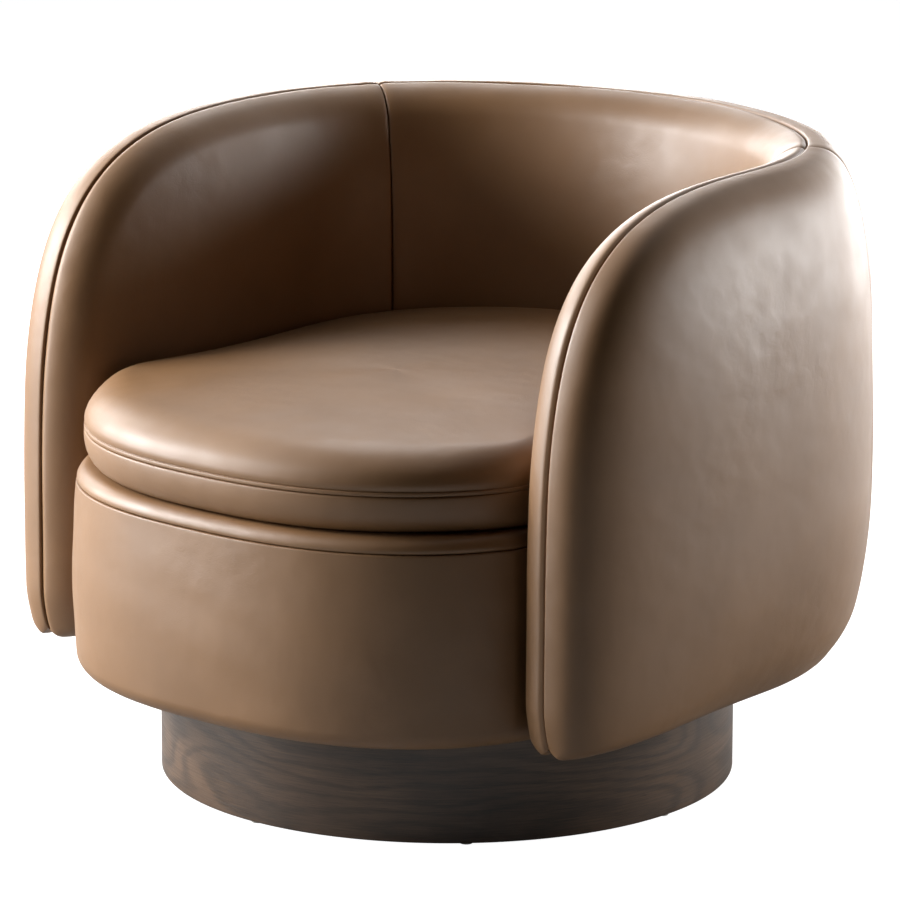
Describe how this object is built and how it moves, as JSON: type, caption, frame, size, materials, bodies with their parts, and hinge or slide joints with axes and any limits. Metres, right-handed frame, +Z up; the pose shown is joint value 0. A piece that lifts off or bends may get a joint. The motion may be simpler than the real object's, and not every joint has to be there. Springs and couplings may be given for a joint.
{
  "type": "swivel chair",
  "caption": "Tub swivel lounge chair: wrap-around leather shell, drum seat with a loose crowned cushion, and a round wooden plinth with a ball-bearing swivel inside.",
  "frame": {"origin": "on the swivel axis at the floor", "axes": "+Z up along the swivel axis; the chair faces -Y; the sitter's left is +X"},
  "size_m": [0.8538, 0.8473, 0.68],
  "materials": {
    "leather": "tan semi-aniline leather, soft satin sheen, fine grain",
    "plinth_veneer": "dark stained oak veneer, satin lacquer, grain running round the hoop",
    "birch": "sanded birch plywood and beech, unfinished",
    "zinc_steel": "bright zinc plated pressed steel",
    "black_steel": "black oxide",
    "ball_steel": "polished bearing steel",
    "felt": "needled grey felt",
    "dust_cloth": "black non-woven cloth",
    "glide": "nylon glide"
  },
  "bodies": {
    "base": {"plinth_hoop": "plinth_veneer", "plinth_top_board": "birch", "cross_rail_long": "birch", "cross_rail_short": "birch", "glue_blocks": "birch", "floor_glides": "glide", "lower_swivel_plate": "zinc_steel", "lower_plate_bolts": "black_steel", "lower_plate_nuts": "zinc_steel", "centre_rivet": "zinc_steel"},
    "cage": {"ball_cage": "zinc_steel", "bearing_balls": "ball_steel"},
    "seat": {"upper_swivel_plate": "zinc_steel", "upper_plate_bolts": "black_steel", "tee_nuts": "zinc_steel", "seat_base_board": "birch", "front_hoop": "birch", "side_rail_left": "birch", "side_rail_right": "birch", "back_rail": "birch", "corner_blocks": "birch", "front_spring_rail": "birch", "rear_spring_rail": "birch", "sinuous_springs": "black_steel", "spring_clips": "zinc_steel", "spring_felt": "felt", "deck_pad": "leather", "drum_apron": "leather", "dust_cover": "dust_cloth", "seat_cushion": "leather", "shell_panel": "birch", "shell_bolts": "zinc_steel", "shell_bolt_nuts": "zinc_steel", "inside_back": "leather", "inside_arm_left": "leather", "inside_arm_right": "leather", "outside_back": "leather", "outside_arm_left": "leather", "outside_arm_right": "leather"}
  },
  "joints": [
    {"name": "seat_swivel", "type": "hinge", "parent": "base", "child": "seat", "pos_m": [0, 0, 0], "axis": [0, 0, 1], "continuous": true},
    {"name": "cage_turn", "type": "hinge", "parent": "base", "child": "cage", "pos_m": [0, 0, 0], "axis": [0, 0, 1], "continuous": true}
  ],
  "couplings": [
    {"joint": "cage_turn", "follows": "seat_swivel", "ratio": 0.5}
  ]
}
